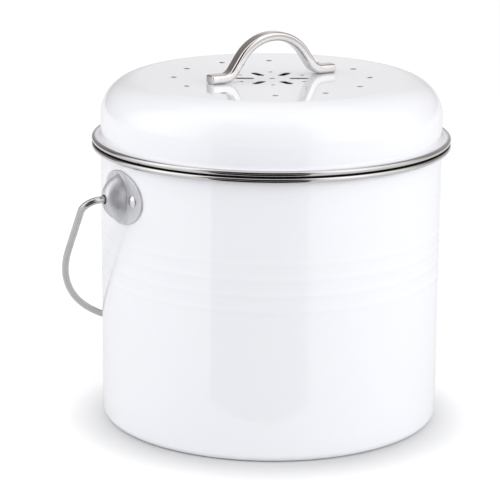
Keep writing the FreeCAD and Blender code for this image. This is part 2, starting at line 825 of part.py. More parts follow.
def handle_screw(label, x):
    """Pan-head screw from below, through washer, frame bar and lid into the handle's foot."""
    head_low = washer_bottom - d.screw_head_height
    dome = d.screw_dome_height
    ball_radius = (d.screw_head_radius * d.screw_head_radius + dome * dome) / (dome * 2)
    body = new_body(label)
    profile = sketch_on(body, label + "_profile", "XZ_Plane")
    draw(profile, (ZERO, head_low), [
        arc(d.screw_head_radius, head_low + dome, ZERO, head_low + ball_radius, 1),
        line(d.screw_head_radius, washer_bottom),
        line(d.screw_radius, washer_bottom),
        line(d.screw_radius, handle_seat + d.screw_depth),
        line(ZERO, handle_seat + d.screw_depth),
        line(ZERO, head_low),
    ])
    revolve(body, profile)
    place(body, "x", x)
    return body


def handle_washer(label, x):
    """Plain washer between a screw's head and the frame's bar."""
    inner = d.screw_radius + d.screw_fit
    body = new_body(label)
    profile = sketch_on(body, label + "_profile", "XZ_Plane")
    draw(profile, (inner, washer_bottom), [
        line(d.washer_radius, washer_bottom),
        line(d.washer_radius, bar_bottom),
        line(inner, bar_bottom),
        line(inner, washer_bottom),
    ])
    revolve(body, profile)
    place(body, "x", x)
    return body


def filter_frame():
    """Moulded frame under the vents: a ring for the filter cover, and a bar that the handle's screws clamp."""
    half_bar = d.frame_bar_width / 2
    half_length = frame_inner_radius + d.frame_wall / 2
    body = new_body("filter_frame")
    profile = sketch_on(body, "FrameRing", "XZ_Plane")
    draw(profile, (frame_inner_radius, frame_bottom), [
        line(frame_outer_radius, frame_bottom),
        line(frame_outer_radius, bar_top),
        line(frame_inner_radius, bar_top),
        line(frame_inner_radius, frame_bottom),
    ])
    revolve(body, profile)
    bar = sketch_on(body, "FrameBar", "XY_Plane", bar_bottom)
    draw(bar, (-half_length, -half_bar), [
        line(half_length, -half_bar),
        line(half_length, half_bar),
        line(-half_length, half_bar),
        line(-half_length, -half_bar),
    ])
    pad(body, bar, d.frame_bar_gauge)
    screw_holes(body, "FrameScrewHoles")
    return body


def filter_cover():
    """Slotted cup that holds the filter and pushes into the frame's ring."""
    skirt_inner = d.filter_radius + d.filter_clearance
    skirt_outer = skirt_inner + d.cover_wall
    skirt_top = cover_top + d.cover_skirt
    bottom = cover_top - d.cover_plate
    body = new_body("filter_cover")
    profile = sketch_on(body, "CoverProfile", "XZ_Plane")
    draw(profile, (ZERO, bottom), [
        line(frame_outer_radius, bottom),
        line(frame_outer_radius, cover_top),
        line(skirt_outer, cover_top),
        line(skirt_outer, skirt_top),
        line(skirt_inner, skirt_top),
        line(skirt_inner, cover_top),
        line(ZERO, cover_top),
        line(ZERO, bottom),
    ])
    revolve(body, profile)
    slot = sketch_on(body, "GrilleSlot", "XY_Plane")
    obround(slot, d.grille_hub_radius, d.filter_radius - d.grille_rim_width, d.grille_slot_half_width)
    repeat(body, cut_through(body, slot), GRILLE_SLOT_COUNT)
    return body


def charcoal_filter():
    """Soft charcoal disc that lies in the cover."""
    edge = d.filter_edge_radius
    outer = d.filter_radius
    body = new_body("charcoal_filter")
    profile = sketch_on(body, "FilterProfile", "XZ_Plane")
    draw(profile, (ZERO, filter_bottom), [
        line(outer - edge, filter_bottom),
        arc(outer, filter_bottom + edge, outer - edge, filter_bottom + edge, 1),
        line(outer, filter_top - edge),
        arc(outer - edge, filter_top, outer - edge, filter_top - edge, 1),
        line(ZERO, filter_top),
        line(ZERO, filter_bottom),
    ])
    revolve(body, profile)
    return body


pieces = [
    bucket_shell(),
    rim_ring("bucket_rim_ring", bucket_roll_height),
    ear("left_ear", half_turn),
    ear("right_ear", ZERO),
    rivet("left_ear_rivet_front", half_turn + rivet_angle()),
    rivet("left_ear_rivet_rear", half_turn - rivet_angle()),
    rivet("right_ear_rivet_front", -rivet_angle()),
    rivet("right_ear_rivet_rear", rivet_angle()),
    bail_wire(),
    lid_shell(),
    rim_ring("lid_rim_ring", lid_roll_height),
    lid_collar(),
    lid_gasket(),
    lid_handle(),
    handle_screw("handle_screw_left", -screw_x),
    handle_screw("handle_screw_right", screw_x),
    handle_washer("handle_washer_left", -screw_x),
    handle_washer("handle_washer_right", screw_x),
    filter_frame(),
    filter_cover(),
    charcoal_filter(),
]

doc.recompute()
for item in doc.Objects:
    if "Invalid" in item.State or "Error" in item.State:
        raise RuntimeError("%s did not build: %s" % (item.Name, item.State))
for piece in pieces:
    if piece.Shape.isNull() or not piece.Shape.isValid():
        raise RuntimeError("%s has no valid shape" % piece.Label)
os.makedirs("parts", exist_ok=True)
for piece in pieces:
    piece.Shape.exportStep("parts/%s.step" % piece.Label)
    print("%s: %d solid, %.1f cubic mm" % (piece.Label, len(piece.Shape.Solids), piece.Shape.Volume))
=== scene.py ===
"""Kitchen compost bin: its shells, rims, wires and finishes, built around the packed frame.

Metres, in the frame's own axes: +Z up, X through the two ears and along the lid handle,
and the bail at the back (+Y).
"""
import json
import math
from functools import partial

import bmesh
import bpy
from bpy.props import FloatProperty, FloatVectorProperty, IntProperty, PointerProperty
from mathutils import Matrix, Vector, noise


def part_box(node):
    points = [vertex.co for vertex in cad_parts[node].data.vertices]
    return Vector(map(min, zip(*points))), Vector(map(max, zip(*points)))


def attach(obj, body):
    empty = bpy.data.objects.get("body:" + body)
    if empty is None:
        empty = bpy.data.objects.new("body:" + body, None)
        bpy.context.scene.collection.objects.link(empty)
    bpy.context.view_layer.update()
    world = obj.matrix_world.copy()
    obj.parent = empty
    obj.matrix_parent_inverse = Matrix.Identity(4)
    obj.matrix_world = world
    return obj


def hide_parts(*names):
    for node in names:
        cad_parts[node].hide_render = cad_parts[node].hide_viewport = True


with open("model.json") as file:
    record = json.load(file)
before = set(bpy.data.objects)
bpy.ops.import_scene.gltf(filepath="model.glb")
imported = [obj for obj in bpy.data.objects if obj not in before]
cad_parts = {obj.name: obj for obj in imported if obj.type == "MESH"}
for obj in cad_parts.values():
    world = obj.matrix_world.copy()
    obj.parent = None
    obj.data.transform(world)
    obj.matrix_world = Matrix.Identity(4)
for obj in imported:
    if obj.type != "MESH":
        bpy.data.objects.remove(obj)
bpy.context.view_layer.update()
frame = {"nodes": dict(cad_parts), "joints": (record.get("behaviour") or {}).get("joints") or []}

bl_info = {
    "name": "Kitchen compost bin",
    "version": (1, 0, 0),
    "blender": (4, 5, 0),
    "location": "3D View > Sidebar > Compost bin",
    "description": "Builds shells, rims, wires and filter of a kitchen compost bin around its CAD frame",
    "category": "Object",
}

# Steps round or along curved faces, and rings in the felt's flat ones
ROUND_STEPS = 192
SMALL_ROUND_STEPS = 48
FELT_ROUND_STEPS = 96
FELT_RINGS = 24
ARC_STEPS = 10
HOLE_STEPS = 24
LIP_STEPS = 14
TRIM_STEPS = 40
WIRE_STEPS = 40

SHARP_ANGLE = math.radians(32)
SAME_POINT = 1e-7
SUPPORT = 0.0004
LONG_LINE = 4 * SUPPORT
UP = Vector((0, 0, 1))
WHITE = (1, 1, 1, 1)

# How far the cutters of vents and recesses start and end from the face that they cut
VENT_CUT_BELOW, VENT_CUT_ABOVE = 0.006, 0.004
RECESS_CUT_OUTSIDE = 0.001

# Range that holds most of a noise's values
WAVE_RANGE = (0.3, 0.7)

# Sockets of a Mix node that mixes colours
MIX_FIRST, MIX_SECOND, MIX_RESULT = 6, 7, 2

# Stage: bearings in degrees left of the camera's own, lengths in metres, the sensor in millimetres
LAMP_PLACES = {"left_lamp": (80, 0.6), "right_lamp": (-67, 0.6), "front_lamp": (0, 0.28)}
LAMP_WIDTH, LAMP_HEIGHT = 1.4, 0.5
LAMP_DISTANCE = 1.3
LAMP_AIM = Vector((0, 0, 0.1))
FLOOR_REACH = 8
# Painted contact shadow on the floor: its middle lies this far from the bin's axis towards the camera, and
# the floor's glow rises from none to full over this range of distances from that middle
SHADOW_SHIFT = 0.015
SHADOW_RANGE = (0.09, 0.122)
# Dark sheet that only reflections see, painted dark reflections: its height, and the bearings and distances
# of its near and far corners
DARK_SHEET_HEIGHT = 0.001
DARK_SHEET_NEAR = ((30, 0.2), (12, 0.17), (-8, 0.17), (-20, 0.2))
DARK_SHEET_FAR = ((-24, 1.6), (-8, 1.6), (12, 1.6), (38, 1.6))
CEILING_START, CEILING_FULL = 0.74, 0.88
WALL_SHADES = (
    (-180, 0.8), (-166, 0.4), (-118, 0.2), (-104, 1.2), (-81, 1.8), (-52, 1.3),
    (-42, 0.3), (-28, 0.06), (-12, 0.012), (10, 0.02), (22, 0.14), (36, 1.3),
    (53, 1.8), (94, 1.2), (120, 0.38), (166, 0.5), (180, 0.8),
)
SENSOR_WIDTH = 36

bucket_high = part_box("bucket_shell")[1]
bucket_ring_low, bucket_ring_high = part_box("bucket_rim_ring")
lid_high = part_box("lid_shell")[1]
lid_ring_low, lid_ring_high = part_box("lid_rim_ring")
ear_low, ear_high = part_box("right_ear")
bail_low, bail_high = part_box("bail_wire")
handle_low, handle_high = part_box("lid_handle")
filter_low, filter_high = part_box("charcoal_filter")
bail_swing = next(joint for joint in frame["joints"] if joint["name"] == "bail_swing")
pivot_height = bail_swing["pos_m"][2]
trim_radius = (bucket_ring_high.z - bucket_ring_low.z) / 2
rim_radius = bucket_ring_high.x - trim_radius


# Settings


def number(name, description, default, **kind):
    """A number that the user can change, none below 0."""
    return FloatProperty(name=name, description=description, default=default, min=0, **kind)


def whole_number(name, description, default):
    """A whole number that the user can change."""
    return IntProperty(name=name, description=description, default=default, min=0)


def angle(name, description, default):
    """An angle that the user can change, its default given in degrees."""
    return FloatProperty(name=name, description=description, default=math.radians(default), subtype="ANGLE")


def colour(name, description, default):
    """A colour that the user can change."""
    return FloatVectorProperty(
        name=name, description=description, default=default, size=3, min=0, max=1, subtype="COLOR"
    )


length = partial(number, precision=4, unit="LENGTH")
fraction = partial(number, max=1, subtype="FACTOR")
watts = partial(number, unit="POWER")


class BucketSizes(bpy.types.PropertyGroup):
    """Drawn bucket, and the rims of bucket and lid."""

    wall_radius: length("Wall radius", "Outer radius of the walls of bucket and lid", 0.1)
    gauge: length("Sheet", "Thickness of the sheet", 0.0008)
    corner_radius: length("Bottom corner", "Outer radius between wall and base", 0.004)
    standing_ring: length("Standing ring", "Width of the flat ring that the bucket stands on", 0.007)
    base_step: length("Base step", "Width of the step inside the standing ring", 0.005)
    base_lift: length("Base lift", "Height of the base above the standing ring", 0.0025)
    bead_count: whole_number("Beads", "Number of beads round the wall", 4)
    bead_height: length("Bead height", "How far a bead stands out of the wall", 0.00014)
    bead_half_width: length("Bead half width", "Half of a bead's height along the wall", 0.003)
    bead_pitch: length("Bead pitch", "Distance from bead to bead", 0.009)
    ear_to_bead: length("Ear to bead", "Distance from the ears' lower edge to the highest bead", 0.0082)
    flare_radius: length("Flare", "Radius where a wall turns out to its rim", 0.002)
    roll_radius: length("Roll", "Radius of a rim's rolled edge", 0.0013)
    trim_gauge: length("Trim strip", "Thickness of the trim rings' strip", 0.00035)
    trim_top_lip: length("Trim top lip", "How far a trim ring reaches in over its rim", 0.0003)
    trim_bottom_lip: length("Trim bottom lip", "How far a trim ring reaches in under its rim", 0.0009)


class EarSizes(bpy.types.PropertyGroup):
    """Pressed ears and their rivets."""

    gauge: length("Ear sheet", "Thickness of an ear's sheet", 0.001)
    plate_radius: length("Plate radius", "Radius that the ears' outer faces are bent to", 0.1011)
    edge_radius: length("Edge", "Radius on the plate's outer edge", 0.0004)
    dome_half_width: length("Dome half width", "Half of the dome's width at its foot", 0.0089)
    dome_half_height: length("Dome half height", "Half of the dome's height at its foot", 0.0134)
    top_half_width: length("Top half width", "Half of the width of the dome's flat top", 0.0039)
    top_half_height: length("Top half height", "Half of the height of the dome's flat top", 0.0043)
    nose_radius: length("Dome nose", "Radius round the dome's top", 0.003)
    foot_radius: length("Dome foot", "Radius round the dome's foot", 0.001)
    bore: length("Bore", "Radius of the hole for the bail", 0.0027)
    rivet_spread: length("Rivet spread", "Distance of a rivet from the ear's middle", 0.0132)
    rivet_head: length("Rivet head", "Radius of a rivet's head", 0.0033)
    rivet_rise: length("Rivet rise", "Height of a rivet's head", 0.0013)
    rivet_shank: length("Rivet shank", "Radius of a rivet's shank", 0.0016)
    rivet_tail: length("Rivet tail", "Radius of a rivet's headed-over tail", 0.0026)
    rivet_tail_rise: length("Rivet tail height", "Height of a rivet's headed-over tail", 0.001)


class BailSizes(bpy.types.PropertyGroup):
    """Bail."""

    wire_radius: length("Wire", "Radius of the bail's wire", 0.002)
    bend_radius: length("Bend", "Radius of the bends beside the ears", 0.0084)
    lean: angle("Lean", "How far the arms lean in towards the bow", 7.7)
    end: length("Bail end", "Distance of the wire's ends from the bucket's axis", 0.1013)
    head_radius: length("Head", "Radius of the upset heads inside the ears", 0.0034)
    head_length: length("Head length", "Length of the upset heads", 0.002)


class LidSizes(bpy.types.PropertyGroup):
    """Lid shell and its vents."""

    shoulder_radius: length("Shoulder", "Radius between the lid's wall and top", 0.0217)
    dish: length("Dish", "How deep the top is dished", 0.0012)
    top_gauge: length("Top sheet", "Thickness of the drawn-out sheet of the top", 0.0004)
    vent_count: whole_number("Vents", "Number of holes in the outer ring", 12)
    vent_ring: length("Vent ring", "Radius of the outer ring of holes", 0.0572)
    vent_radius: length("Vent", "Radius of a hole in the outer ring", 0.002)
    petal_count: whole_number("Petals", "Number of slots round the centre", 6)
    petal_inner: length("Petal inner end", "Distance of a slot's inner end from the centre", 0.0099)
    petal_outer: length("Petal outer end", "Distance of a slot's outer end from the centre", 0.0217)
    petal_half_width: length("Petal half width", "Half of a slot's width", 0.0024)
    small_ring: length("Small vent ring", "Radius of the ring of holes between the slots", 0.0209)
    small_radius: length("Small vent", "Radius of a hole between the slots", 0.0015)
    centre_radius: length("Centre vent", "Radius of the hole in the middle", 0.0019)
    # The lip is black rubber set between the rims, painted shade of the crease there
    lip_root: length("Lip root", "Distance of the gasket lip's root from the middle of the rims", 0.00085)
    lip_reach: length("Lip reach", "How far the lip reaches past the middle of the rims", 0.0012)
    lip_gap: length("Lip gap", "Gap between the lip and each rim", 0.00005)


class HandleSizes(bpy.types.PropertyGroup):
    """Lid handle and its screws."""

    thickness: length("Bar thickness", "Thickness of the bar", 0.0051)
    edge_radius: length("Bar edge", "Radius along the bar's edges", 0.0015)
    end_radius: length("Bar end", "Radius round the bar's ends", 0.0007)
    arch_radius: length("Arch", "Radius of the arch along the middle of the bar", 0.026)
    bend_radius: length("Foot bend", "Radius of the bends above the feet", 0.0085)
    lean: angle("Leg lean", "How far the legs lean out from upright", 35)
    foot_length: length("Foot", "Length of a foot past its bend", 0.0087)
    screw_radius: length("Screw", "Radius of the screws' thread", 0.002)
    screw_head: length("Screw head", "Height of the screws' heads", 0.0022)
    screw_dome: length("Screw dome", "Height of the dome on the screws' heads", 0.0007)
    screw_chamfer: length("Screw chamfer", "Chamfer on the screws' ends", 0.0004)
    recess_span: fraction("Recess span", "Half length of the recess, as a share of the head's width", 0.3)
    recess_half_width: length("Recess half width", "Half of the width of the recess's arms", 0.00055)
    recess_depth: length("Recess depth", "Depth of the recess from the top of the head", 0.0012)


class FilterSizes(bpy.types.PropertyGroup):
    """Charcoal filter."""

    edge_radius: length("Felt edge", "Radius on the felt's edges", 0.0018)
    dent: length("Dent", "Mean depth of the dents in the felt's faces", 0.00035)
    dent_waves: number("Dent waves", "Dents to a metre", 130)


class Finishes(bpy.types.PropertyGroup):
    """Colours of the finishes."""

    enamel: colour("Enamel", "White coat of bucket and lid", (0.865, 0.873, 0.91))
    trim: colour("Trim", "Polished stainless of the trim rings", (0.58, 0.57, 0.565))
    zinc: colour("Zinc", "Galvanised sheet of the ears", (0.66, 0.664, 0.695))
    rivet: colour("Rivet", "Bright rivets", (0.74, 0.74, 0.745))
    wire: colour("Wire", "Plated wire of the bail", (0.54, 0.525, 0.53))
    chrome: colour("Chrome", "Polished bar of the lid handle", (0.68, 0.66, 0.65))
    fastener: colour("Fastener", "Zinc-plated screws and washers", (0.58, 0.58, 0.56))
    rubber: colour("Rubber", "Gasket of the lid", (0.003, 0.003, 0.003))
    plastic: colour("Plastic", "Moulded frame and cover of the filter", (0.045, 0.046, 0.048))
    charcoal: colour("Charcoal", "Felt of the filter", (0.022, 0.022, 0.023))


class StageSettings(bpy.types.PropertyGroup):
    """Camera, light and floor."""

    distance: length("Camera distance", "Level distance of the camera from the bucket's axis", 1.29588)
    height: length("Camera height", "Height of the camera above the floor", 0.435879)
    bearing: angle("Bearing", "Direction that the camera looks from, left of the front", 32)
    yaw: angle("Yaw", "How far the camera looks past the bucket's axis", -0.5323)
    pitch: angle("Pitch", "How far the camera looks down", 14.6213)
    roll: angle("Roll", "How far the camera is tipped about its own line of sight", 0.3845)
    lens: number("Lens", "Focal length on a 36 mm sensor", 162.08, unit="CAMERA")
    sky: fraction("Sky", "Light that falls on the bin from all round", 0.92)
    room: colour("Room", "Tint of the dim walls of the room, seen in reflections", (1, 0.87, 0.86))
    room_light: number("Room light", "Brightness of the room's white walls", 1.8)
    left_lamp: watts("Left lamp", "Power of the soft lamp left of the bin", 5.2)
    right_lamp: watts("Right lamp", "Power of the soft lamp right of the bin", 6.2)
    front_lamp: watts("Front lamp", "Power of the low soft lamp in front of the bin", 0.5)
    floor: colour("Floor", "Pale floor", (0.7, 0.7, 0.705))
    # The glow fades to none near the bin, which paints the floor's contact shadow
    floor_glow: fraction("Floor glow", "White that the floor adds for the camera, away from the bin", 0.33)
    glow_reflected: fraction("Reflected glow", "Share of the floor's glow that reflections show", 0.4)


SETTINGS = {
    "compost_bin_bucket": BucketSizes,
    "compost_bin_ear": EarSizes,
    "compost_bin_bail": BailSizes,
    "compost_bin_lid": LidSizes,
    "compost_bin_handle": HandleSizes,
    "compost_bin_filter": FilterSizes,
    "compost_bin_finish": Finishes,
    "compost_bin_stage": StageSettings,
}


# Outlines and meshes


def shares(count):
    """Shares from 0 to 1 in so many even steps."""
    return [step / count for step in range(count + 1)]


def turns(count):
    """So many even turns round a circle, in radians."""
    return [2 * math.pi * step / count for step in range(count)]


def arcsine(value):
    """Angle with that sine, in degrees."""
    return math.degrees(math.asin(value))


def cap(half_width, rise):
    """Radius of the ball under a round cap, and the angle from its crown to its edge in degrees."""
    ball = (half_width**2 + rise**2) / (2 * rise)
    return ball, arcsine(half_width / ball)


def arc(centre, radius, start, end, steps=ARC_STEPS):
    """Points along an arc from one angle to another, in degrees, both ends included."""
    angles = [math.radians(start + (end - start) * step / steps) for step in range(steps + 1)]
    return [(centre[0] + radius * math.cos(turn), centre[1] + radius * math.sin(turn)) for turn in angles]


def supported(points):
    """The points without repeats, and two more in each long line, which keep its shading straight."""
    kept = [Vector(points[0])]
    for point in map(Vector, points[1:]):
        step = point - kept[-1]
        if step.length <= SAME_POINT:
            continue
        if step.length > LONG_LINE:
            start, inset = kept[-1], step.normalized() * SUPPORT
            kept += [start + inset, point - inset]
        kept.append(point)
    return kept


def linked(name, mesh, material):
    """Object of a mesh in the scene, shaded smooth up to its creases."""
    mesh.polygons.foreach_set("use_smooth", [True] * len(mesh.polygons))
    mesh.set_sharp_from_angle(angle=SHARP_ANGLE)
    mesh.materials.append(material)
    piece = bpy.data.objects.new(name, mesh)
    bpy.context.scene.collection.objects.link(piece)
    return piece


def solid(name, rings, material, closed):
    """Skin rings of points into one closed piece; a ring of one point is a pole.

    The last ring joins the first if closed; if not, open end rings get caps.
    """
    shape = bmesh.new()
    rings = [[shape.verts.new(point) for point in ring] for ring in rings]
    pairs = list(zip(rings, rings[1:]))
    if closed:
        pairs.append((rings[-1], rings[0]))
    for ring, following in pairs:
        count = max(len(ring), len(following))
        for index in range(count):
            after = (index + 1) % count
            corners = [ring[index % len(ring)], ring[after % len(ring)]]
            corners += [following[after % len(following)], following[index % len(following)]]
            shape.faces.new(list(dict.fromkeys(corners)))
    if not closed:
        for ring in (rings[0], rings[-1]):
            if len(ring) > 1:
                shape.faces.new(ring)
    bmesh.ops.recalc_face_normals(shape, faces=shape.faces)
    mesh = bpy.data.meshes.new(name)
    shape.to_mesh(mesh)
    shape.free()
    return linked(name, mesh, material)


def lathe(name, outline, material, closed=False, steps=ROUND_STEPS):
    """Turn an outline of radius and height round the Z axis."""
    rings = []
    for radius, height in supported(outline):
        around = turns(steps) if radius > SAME_POINT else [0]
        rings.append([(radius * math.cos(turn), radius * math.sin(turn), height) for turn in around])
    return solid(name, rings, material, closed)


def headings(path):
    """Direction of a plane path at each of its points."""
    before = [path[0], *path[:-1]]
    after = [*path[1:], path[-1]]
    return [(end - start).normalized() for start, end in zip(before, after)]


def prism(name, corners, low, high, material):
    """Upright prism over a plane outline."""
    return solid(name, [[(x, y, z) for x, y in corners] for z in (low, high)], material, closed=False)


def carve(piece, cutters):
    """Cut closed shapes out of a piece, and remove them."""
    for cutter in cutters:
        cut = piece.modifiers.new(cutter.name, "BOOLEAN")
        cut.operation = "DIFFERENCE"
        cut.solver = "EXACT"
        cut.object = cutter
    carved = bpy.data.meshes.new_from_object(piece.evaluated_get(bpy.context.evaluated_depsgraph_get()))
    piece.modifiers.clear()
    piece.data = carved
    carved.set_sharp_from_angle(angle=SHARP_ANGLE)
    for cutter in cutters:
        bpy.data.objects.remove(cutter)


def install(piece, body, slot, *nodes):
    """Let a piece ride on its body in place of its CAD nodes; its slot is not used."""
    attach(piece, body)
    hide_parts(*nodes)


def dress(material, *nodes):
    """Give CAD nodes a finish."""
    for node in nodes:
        materials = frame["nodes"][node].data.materials
        materials.clear()
        materials.append(material)


# Finishes


class Graph:
    """Nodes of a material or a world under construction."""

    def __init__(self, tree):
        self.nodes = tree.nodes
        self.links = tree.links

    def feed(self, socket, value):
        """Let a socket follow an output, or set it to a constant."""
        if isinstance(value, bpy.types.NodeSocket):
            self.links.new(value, socket)
        else:
            socket.default_value = value

    def add(self, kind, inputs=(), **settings):
        """Outputs of a new node with these settings, its inputs fed by name or number."""
        node = self.nodes.new("ShaderNode" + kind)
        for setting, value in settings.items():
            setattr(node, setting, value)
        for socket, value in dict(inputs).items():
            self.feed(node.inputs[socket], value)
        return node.outputs

    def ramp(self, value, stops):
        """Colour that a value picks from a ramp with stops at places from 0 to 1."""
        outputs = self.add("ValToRGB", {"Fac": value})
        elements = outputs["Color"].node.color_ramp.elements
        while len(elements) < len(stops):
            elements.new(0.5)
        for element, (place, tint) in zip(elements, stops):
            element.position = place
            element.color = (*tint, 1)
        return outputs["Color"]

    def span(self, value, reach, low, high):
        """Stretch a value over a reach of its own to the run from low to high, and no further."""
        limits = zip(("From Min", "From Max", "To Min", "To Max"), (*reach, low, high))
        return self.add("MapRange", {"Value": value, **dict(limits)})["Result"]


class Finish(Graph):
    """A material under construction: its shader, and noise that varies over the piece."""

    def __init__(self, name):
        self.material = bpy.data.materials.new(name)
        self.material.use_nodes = True
        super().__init__(self.material.node_tree)
        self.place = self.add("TexCoord")["Object"]

    def set(self, **values):
        """Feed sockets of the shader."""
        for socket, value in values.items():
            self.feed(self.nodes["Principled BSDF"].inputs[socket.replace("_", " ")], value)

    def noise(self, waves, detail=3.0, stretch=(1, 1, 1)):
        """Noise with so many waves to a metre, multiplied along the axes."""
        place = self.add("Mapping", {"Vector": self.place, "Scale": stretch})["Vector"]
        return self.add("TexNoise", {"Vector": place, "Scale": waves, "Detail": detail})["Fac"]

    def vary_colour(self, wave, low, high):
        """Let the base colour run between two colours with a wave."""
        self.set(Base_Color=self.ramp(wave, list(zip(WAVE_RANGE, (low, high)))))

    def vary_roughness(self, wave, low, high):
        """Let the roughness run between two values with a wave."""
        self.set(Roughness=self.span(wave, WAVE_RANGE, low, high))

    def bump(self, wave, height, strength):
        """Raise the surface by a wave of that height in metres."""
        raised = self.add("Bump", {"Strength": strength, "Distance": height, "Height": wave})
        self.set(Normal=raised["Normal"])


def shaded(tint, factor):
    """A colour made darker or lighter."""
    return tuple(min(channel * factor, 1) for channel in tint)


def enamel(finish, tint):
    """Glossy white powder coat with a trace of orange peel."""
    finish.vary_colour(finish.noise(waves=14, detail=2), shaded(tint, 0.99), tint)
    finish.vary_roughness(finish.noise(waves=40), low=0.3, high=0.4)
    finish.bump(finish.noise(waves=420, detail=2), height=0.00001, strength=0.15)
    finish.set(Specular_IOR_Level=0.15, Coat_Weight=1.0, Coat_Roughness=0.03)


def polished(finish, tint, rough, grain=(1, 1, 1)):
    """Bright metal with fine polishing marks along the grain."""
    finish.vary_colour(finish.noise(waves=60, detail=2), shaded(tint, 0.95), shaded(tint, 1.03))
    marks = finish.noise(waves=900, detail=4, stretch=grain)
    finish.vary_roughness(marks, low=rough * 0.9, high=rough * 1.12)
    finish.bump(finish.noise(waves=1600, stretch=grain), height=0.000002, strength=0.15)
    finish.set(Metallic=1.0)


def galvanised(finish, tint):
    """Satin galvanised sheet with a soft upright grain."""
    grain = finish.noise(waves=260, detail=4, stretch=(1, 1, 0.25))
    finish.vary_colour(grain, shaded(tint, 0.88), shaded(tint, 1.06))
    finish.vary_roughness(finish.noise(waves=500), low=0.36, high=0.5)
    finish.bump(finish.noise(waves=1500, stretch=(1, 1, 0.3)), height=0.00002, strength=0.35)
    finish.set(Metallic=0.7)


def moulded(finish, tint):
    """Dark moulded plastic with a fine spark-eroded grain."""
    finish.vary_colour(finish.noise(waves=80, detail=2), shaded(tint, 0.85), shaded(tint, 1.15))
    finish.vary_roughness(finish.noise(waves=300), low=0.42, high=0.56)
    finish.bump(finish.noise(waves=2200, detail=2), height=0.00004, strength=0.4)


def rubber(finish, tint):
    """Matt black rubber."""
    finish.vary_colour(finish.noise(waves=120, detail=2), shaded(tint, 0.8), shaded(tint, 1.3))
    finish.vary_roughness(finish.noise(waves=400, detail=2), low=0.6, high=0.75)
    finish.bump(finish.noise(waves=1200, detail=2), height=0.00003, strength=0.3)
    finish.set(Specular_IOR_Level=0.02)


def felt(finish, tint):
    """Loose black fibre."""
    finish.vary_colour(finish.noise(waves=700, detail=5), shaded(tint, 0.5), shaded(tint, 2.2))
    finish.vary_roughness(finish.noise(waves=300, detail=2), low=0.85, high=0.98)
    finish.bump(finish.noise(waves=900, detail=6), height=0.0004, strength=0.8)
    finish.set(Sheen_Weight=0.3, Sheen_Roughness=0.5)


# For each slot: how its finish is made, its colour in the settings, and a metal's roughness and grain
FINISH_OF_SLOT = {
    "white_enamel": (enamel, "enamel"),
    "trim_steel": (polished, "trim", 0.04, (1, 1, 6)),
    "ear_zinc": (galvanised, "zinc"),
    "rivet_steel": (polished, "rivet", 0.26),
    "bail_steel": (polished, "wire", 0.25),
    "handle_chrome": (polished, "chrome", 0.04, (6, 1, 1)),
    "fastener_steel": (polished, "fastener", 0.3),
    "gasket_rubber": (rubber, "rubber"),
    "filter_plastic": (moulded, "plastic"),
    "charcoal_felt": (felt, "charcoal"),
}


def finish_of(slot):
    """The finish of a slot, made when it is first asked for."""
    name = "%s_finish" % slot
    made = bpy.data.materials.get(name)
    if made:
        return made
    make, setting, *marks = FINISH_OF_SLOT[slot]
    finish = Finish(name)
    make(finish, getattr(bpy.context.scene.compost_bin_finish, setting), *marks)
    return finish.material


# Pieces


def roll_dip(sizes):
    """Angle above level, in degrees, at which a flange's under side meets its roll."""
    return arcsine((sizes.roll_radius - sizes.gauge) / sizes.roll_radius)


def trim_ring(name, sizes, low, high):
    """Trim strip crimped round a rolled rim, open on its inner side."""
    centre = (rim_radius, (low.z + high.z) / 2)
    outer, inner = trim_radius, trim_radius - sizes.trim_gauge

    def ends(radius):
        """Angles at which the strip's face of that radius starts on top and ends below."""
        lips = (sizes.trim_top_lip, sizes.trim_bottom_lip)
        top, bottom = [math.degrees(math.acos(-lip / radius)) for lip in lips]
        return top, -bottom

    outline = arc(centre, outer, *ends(outer), TRIM_STEPS)
    outline += arc(centre, inner, *reversed(ends(inner)), TRIM_STEPS)
    return lathe(name, outline, finish_of("trim_steel"), closed=True)


